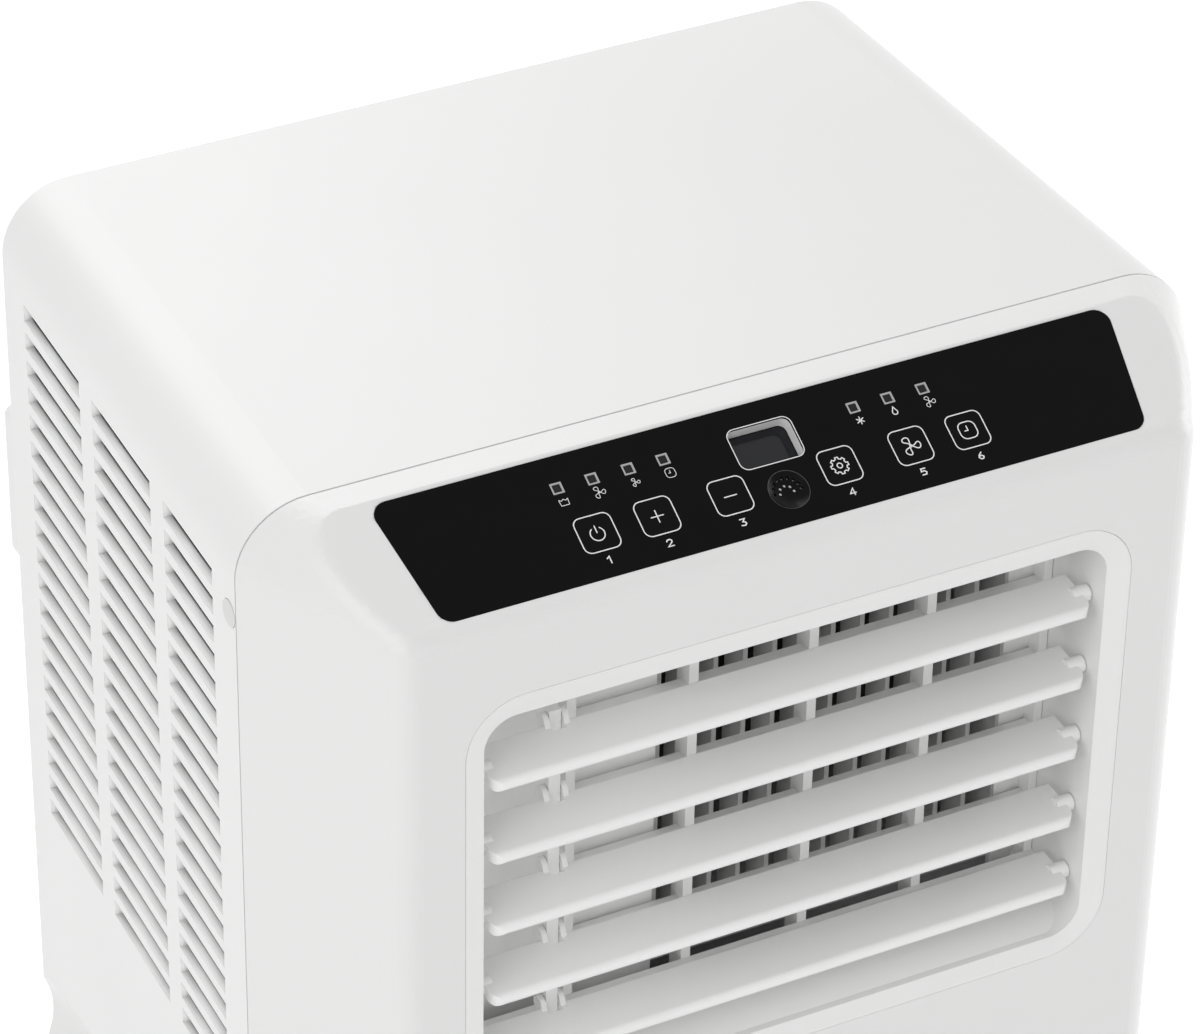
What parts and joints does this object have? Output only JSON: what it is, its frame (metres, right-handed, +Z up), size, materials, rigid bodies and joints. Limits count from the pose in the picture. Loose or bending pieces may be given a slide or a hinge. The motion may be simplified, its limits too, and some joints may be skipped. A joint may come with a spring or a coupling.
{
  "type": "portable air conditioner",
  "caption": "Upright portable room air conditioner on castors, with a sloped control face, linked outlet louvres, side inlet grilles and a rear hose collar.",
  "frame": {"origin": "on the floor, under the middle of the overall box", "axes": "+Z up, the outlet faces -Y, +X is the viewer's right"},
  "size_m": [0.3302, 0.28, 0.68],
  "materials": {
    "white_plastic": "fine moulded texture",
    "grey_plastic": "moulded",
    "dark_plastic": "moulded",
    "film": "glossy printed film",
    "key": "satin film over the key",
    "display": "smoked window",
    "lamp": "diffuse lens",
    "board": "circuit board",
    "motor": "painted",
    "can": "black paint",
    "fins": "bare fins",
    "pipe": "drawn copper",
    "net": "fine mesh",
    "rubber": "matt",
    "castor": "moulded",
    "tread": "moulded"
  },
  "bodies": {
    "cabinet": {"base_pan": "grey_plastic", "wrap_housing": "white_plastic", "rear_panel": "white_plastic", "front_panel": "white_plastic", "screw_caps": "white_plastic", "control_film": "film", "sounder_disc": "dark_plastic", "display_module": "display", "status_lamps": "lamp", "control_board": "board", "tact_switches": "dark_plastic", "louvre_frame": "white_plastic", "outlet_grille": "white_plastic", "blower_scroll": "dark_plastic", "blower_motor": "motor", "evaporator": "fins", "bulkhead_tray": "grey_plastic", "compressor": "can", "compressor_mounts": "rubber", "accumulator": "can", "condenser": "fins", "condenser_scroll": "dark_plastic", "condenser_motor": "motor", "exhaust_duct": "dark_plastic", "exhaust_collar": "white_plastic", "suction_pipe": "pipe", "discharge_pipe": "pipe", "electrical_box": "dark_plastic", "cord_gland": "rubber"},
    "key_power": {"key_power": "key"},
    "key_plus": {"key_plus": "key"},
    "key_minus": {"key_minus": "key"},
    "key_mode": {"key_mode": "key"},
    "key_speed": {"key_speed": "key"},
    "key_timer": {"key_timer": "key"},
    "louvre_1": {"louvre_1": "white_plastic"},
    "louvre_2": {"louvre_2": "white_plastic"},
    "louvre_3": {"louvre_3": "white_plastic"},
    "louvre_4": {"louvre_4": "white_plastic"},
    "louvre_5": {"louvre_5": "white_plastic"},
    "louvre_link": {"louvre_link": "white_plastic"},
    "blower_wheel": {"blower_wheel": "dark_plastic"},
    "condenser_fan": {"condenser_fan": "dark_plastic"},
    "filter": {"filter_frame": "white_plastic", "filter_net": "net"},
    "drain_plug": {"drain_plug": "rubber"},
    "castor_fork_front_left": {"castor_fork_front_left": "castor"},
    "castor_wheel_front_left": {"castor_wheel_front_left": "tread"},
    "castor_fork_front_right": {"castor_fork_front_right": "castor"},
    "castor_wheel_front_right": {"castor_wheel_front_right": "tread"},
    "castor_fork_rear_left": {"castor_fork_rear_left": "castor"},
    "castor_wheel_rear_left": {"castor_wheel_rear_left": "tread"},
    "castor_fork_rear_right": {"castor_fork_rear_right": "castor"},
    "castor_wheel_rear_right": {"castor_wheel_rear_right": "tread"}
  },
  "joints": [
    {"name": "key_power_press", "type": "slide", "parent": "cabinet", "child": "key_power", "axis": [0, 0.4662, -0.8847], "range_m": [0, 0.0004], "stiffness_N_per_m": 3000},
    {"name": "key_plus_press", "type": "slide", "parent": "cabinet", "child": "key_plus", "axis": [0, 0.4662, -0.8847], "range_m": [0, 0.0004], "stiffness_N_per_m": 3000},
    {"name": "key_minus_press", "type": "slide", "parent": "cabinet", "child": "key_minus", "axis": [0, 0.4662, -0.8847], "range_m": [0, 0.0004], "stiffness_N_per_m": 3000},
    {"name": "key_mode_press", "type": "slide", "parent": "cabinet", "child": "key_mode", "axis": [0, 0.4662, -0.8847], "range_m": [0, 0.0004], "stiffness_N_per_m": 3000},
    {"name": "key_speed_press", "type": "slide", "parent": "cabinet", "child": "key_speed", "axis": [0, 0.4662, -0.8847], "range_m": [0, 0.0004], "stiffness_N_per_m": 3000},
    {"name": "key_timer_press", "type": "slide", "parent": "cabinet", "child": "key_timer", "axis": [0, 0.4662, -0.8847], "range_m": [0, 0.0004], "stiffness_N_per_m": 3000},
    {"name": "louvre_1_tilt", "type": "hinge", "parent": "cabinet", "child": "louvre_1", "pos_m": [0, -0.128, 0.5958], "axis": [1, 0, 0], "range_deg": [-40, 30]},
    {"name": "louvre_2_tilt", "type": "hinge", "parent": "cabinet", "child": "louvre_2", "pos_m": [0, -0.128, 0.5681], "axis": [1, 0, 0], "range_deg": [-40, 30]},
    {"name": "louvre_3_tilt", "type": "hinge", "parent": "cabinet", "child": "louvre_3", "pos_m": [0, -0.128, 0.5404], "axis": [1, 0, 0], "range_deg": [-40, 30]},
    {"name": "louvre_4_tilt", "type": "hinge", "parent": "cabinet", "child": "louvre_4", "pos_m": [0, -0.128, 0.5127], "axis": [1, 0, 0], "range_deg": [-40, 30]},
    {"name": "louvre_5_tilt", "type": "hinge", "parent": "cabinet", "child": "louvre_5", "pos_m": [0, -0.128, 0.485], "axis": [1, 0, 0], "range_deg": [-40, 30]},
    {"name": "louvre_link_pin", "type": "hinge", "parent": "louvre_3", "child": "louvre_link", "pos_m": [-0.0755, -0.11732, 0.54331], "axis": [1, 0, 0], "range_deg": [-30, 40]},
    {"name": "blower_spin", "type": "hinge", "parent": "cabinet", "child": "blower_wheel", "pos_m": [0, -0.017, 0.538], "axis": [1, 0, 0], "continuous": true},
    {"name": "condenser_fan_spin", "type": "hinge", "parent": "cabinet", "child": "condenser_fan", "pos_m": [0.07, 0, 0.18], "axis": [0, 1, 0], "continuous": true},
    {"name": "filter_pull", "type": "slide", "parent": "cabinet", "child": "filter", "axis": [0, 1, 0], "range_m": [0, 0.03]},
    {"name": "drain_plug_pull", "type": "slide", "parent": "cabinet", "child": "drain_plug", "axis": [0, 1, 0], "range_m": [0, 0.015]},
    {"name": "castor_front_left_swivel", "type": "hinge", "parent": "cabinet", "child": "castor_fork_front_left", "pos_m": [-0.113, -0.088, 0.05], "axis": [0, 0, 1], "continuous": true},
    {"name": "castor_front_left_roll", "type": "hinge", "parent": "castor_fork_front_left", "child": "castor_wheel_front_left", "pos_m": [-0.113, -0.077, 0.018], "axis": [1, 0, 0], "continuous": true},
    {"name": "castor_front_right_swivel", "type": "hinge", "parent": "cabinet", "child": "castor_fork_front_right", "pos_m": [0.113, -0.088, 0.05], "axis": [0, 0, 1], "continuous": true},
    {"name": "castor_front_right_roll", "type": "hinge", "parent": "castor_fork_front_right", "child": "castor_wheel_front_right", "pos_m": [0.113, -0.077, 0.018], "axis": [1, 0, 0], "continuous": true},
    {"name": "castor_rear_left_swivel", "type": "hinge", "parent": "cabinet", "child": "castor_fork_rear_left", "pos_m": [-0.113, 0.072, 0.05], "axis": [0, 0, 1], "continuous": true},
    {"name": "castor_rear_left_roll", "type": "hinge", "parent": "castor_fork_rear_left", "child": "castor_wheel_rear_left", "pos_m": [-0.113, 0.083, 0.018], "axis": [1, 0, 0], "continuous": true},
    {"name": "castor_rear_right_swivel", "type": "hinge", "parent": "cabinet", "child": "castor_fork_rear_right", "pos_m": [0.113, 0.072, 0.05], "axis": [0, 0, 1], "continuous": true},
    {"name": "castor_rear_right_roll", "type": "hinge", "parent": "castor_fork_rear_right", "child": "castor_wheel_rear_right", "pos_m": [0.113, 0.083, 0.018], "axis": [1, 0, 0], "continuous": true}
  ],
  "couplings": [
    {"joint": "louvre_1_tilt", "follows": "louvre_3_tilt", "ratio": 1},
    {"joint": "louvre_2_tilt", "follows": "louvre_3_tilt", "ratio": 1},
    {"joint": "louvre_4_tilt", "follows": "louvre_3_tilt", "ratio": 1},
    {"joint": "louvre_5_tilt", "follows": "louvre_3_tilt", "ratio": 1},
    {"joint": "louvre_link_pin", "follows": "louvre_3_tilt", "ratio": -1}
  ]
}
